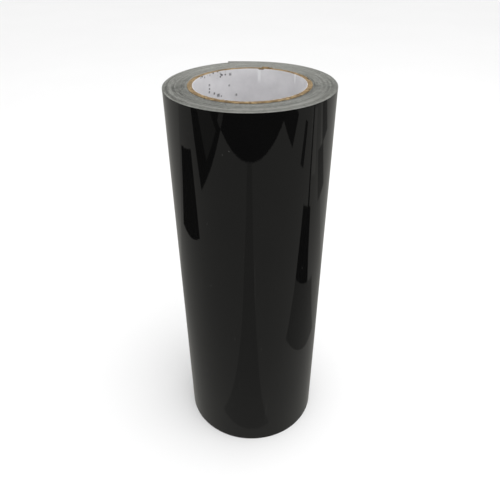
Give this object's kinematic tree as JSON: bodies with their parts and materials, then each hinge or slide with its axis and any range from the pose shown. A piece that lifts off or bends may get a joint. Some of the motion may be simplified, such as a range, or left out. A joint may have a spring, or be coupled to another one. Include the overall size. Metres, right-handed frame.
{
  "type": "roll of sign vinyl",
  "caption": "Roll of glossy black self-adhesive sign vinyl wound on a paperboard core, standing on end, with a free tail of film on its release liner.",
  "frame": {"origin": "on the axis of the core's bore, in the plane of the lower end", "axes": "+Z along the bore axis towards the upper end; the start of the web lies 20 degrees from +X towards +Y, and the web winds outwards anticlockwise seen from +Z"},
  "size_m": [0.1161, 0.1164, 0.3048],
  "materials": {
    "black_vinyl": "gloss black calendered vinyl film",
    "release_paper": "off-white silicone-coated release paper, satin",
    "kraft_board": "raw brown kraft core board",
    "white_paper": "white paper lining, matt",
    "tape": "thin double-sided tissue tape",
    "adhesive": "tacky grey acrylic adhesive coat"
  },
  "bodies": {
    "roll": {"core_inner_liner": "white_paper", "core_board_ply_1": "kraft_board", "core_board_ply_2": "kraft_board", "core_board_ply_3": "kraft_board", "core_board_ply_4": "kraft_board", "core_outer_ply": "kraft_board", "core_start_tape": "tape", "release_liner_wound": "release_paper", "vinyl_film_wound": "black_vinyl", "release_liner_outer_turn": "release_paper", "vinyl_film_outer_turn": "black_vinyl"},
    "tail_1": {"tail_liner_1": "release_paper", "tail_film_1": "black_vinyl"},
    "tail_2": {"tail_liner_2": "release_paper", "tail_film_2": "black_vinyl"},
    "tail_3": {"tail_liner_3": "release_paper", "tail_film_3": "black_vinyl"},
    "tail_4": {"tail_liner_4": "release_paper", "tail_film_4": "black_vinyl"},
    "tail_tip": {"tip_liner": "release_paper", "tip_film_held": "black_vinyl"},
    "film_end": {"tip_film_loose": "black_vinyl", "tip_adhesive": "adhesive"}
  },
  "joints": [
    {"name": "tail_lift", "type": "hinge", "parent": "roll", "child": "tail_1", "pos_m": [0.0549, 0.01998, 0.1524], "axis": [0, 0, -1], "range_deg": [0, 18]},
    {"name": "tail_bend_2", "type": "hinge", "parent": "tail_1", "child": "tail_2", "pos_m": [0.04603, 0.03599, 0.1524], "axis": [0, 0, -1], "range_deg": [0, 18]},
    {"name": "tail_bend_3", "type": "hinge", "parent": "tail_2", "child": "tail_3", "pos_m": [0.03265, 0.04846, 0.1524], "axis": [0, 0, -1], "range_deg": [0, 18]},
    {"name": "tail_bend_4", "type": "hinge", "parent": "tail_3", "child": "tail_4", "pos_m": [0.01607, 0.0562, 0.1524], "axis": [0, 0, -1], "range_deg": [0, 18]},
    {"name": "tip_bend", "type": "hinge", "parent": "tail_4", "child": "tail_tip", "pos_m": [-0.00209, 0.05843, 0.1524], "axis": [0, 0, -1], "range_deg": [0, 9]},
    {"name": "film_peel", "type": "hinge", "parent": "tail_tip", "child": "film_end", "pos_m": [-0.00439, 0.05835, 0.1524], "axis": [0, 0, -1], "range_deg": [0, 160]}
  ]
}
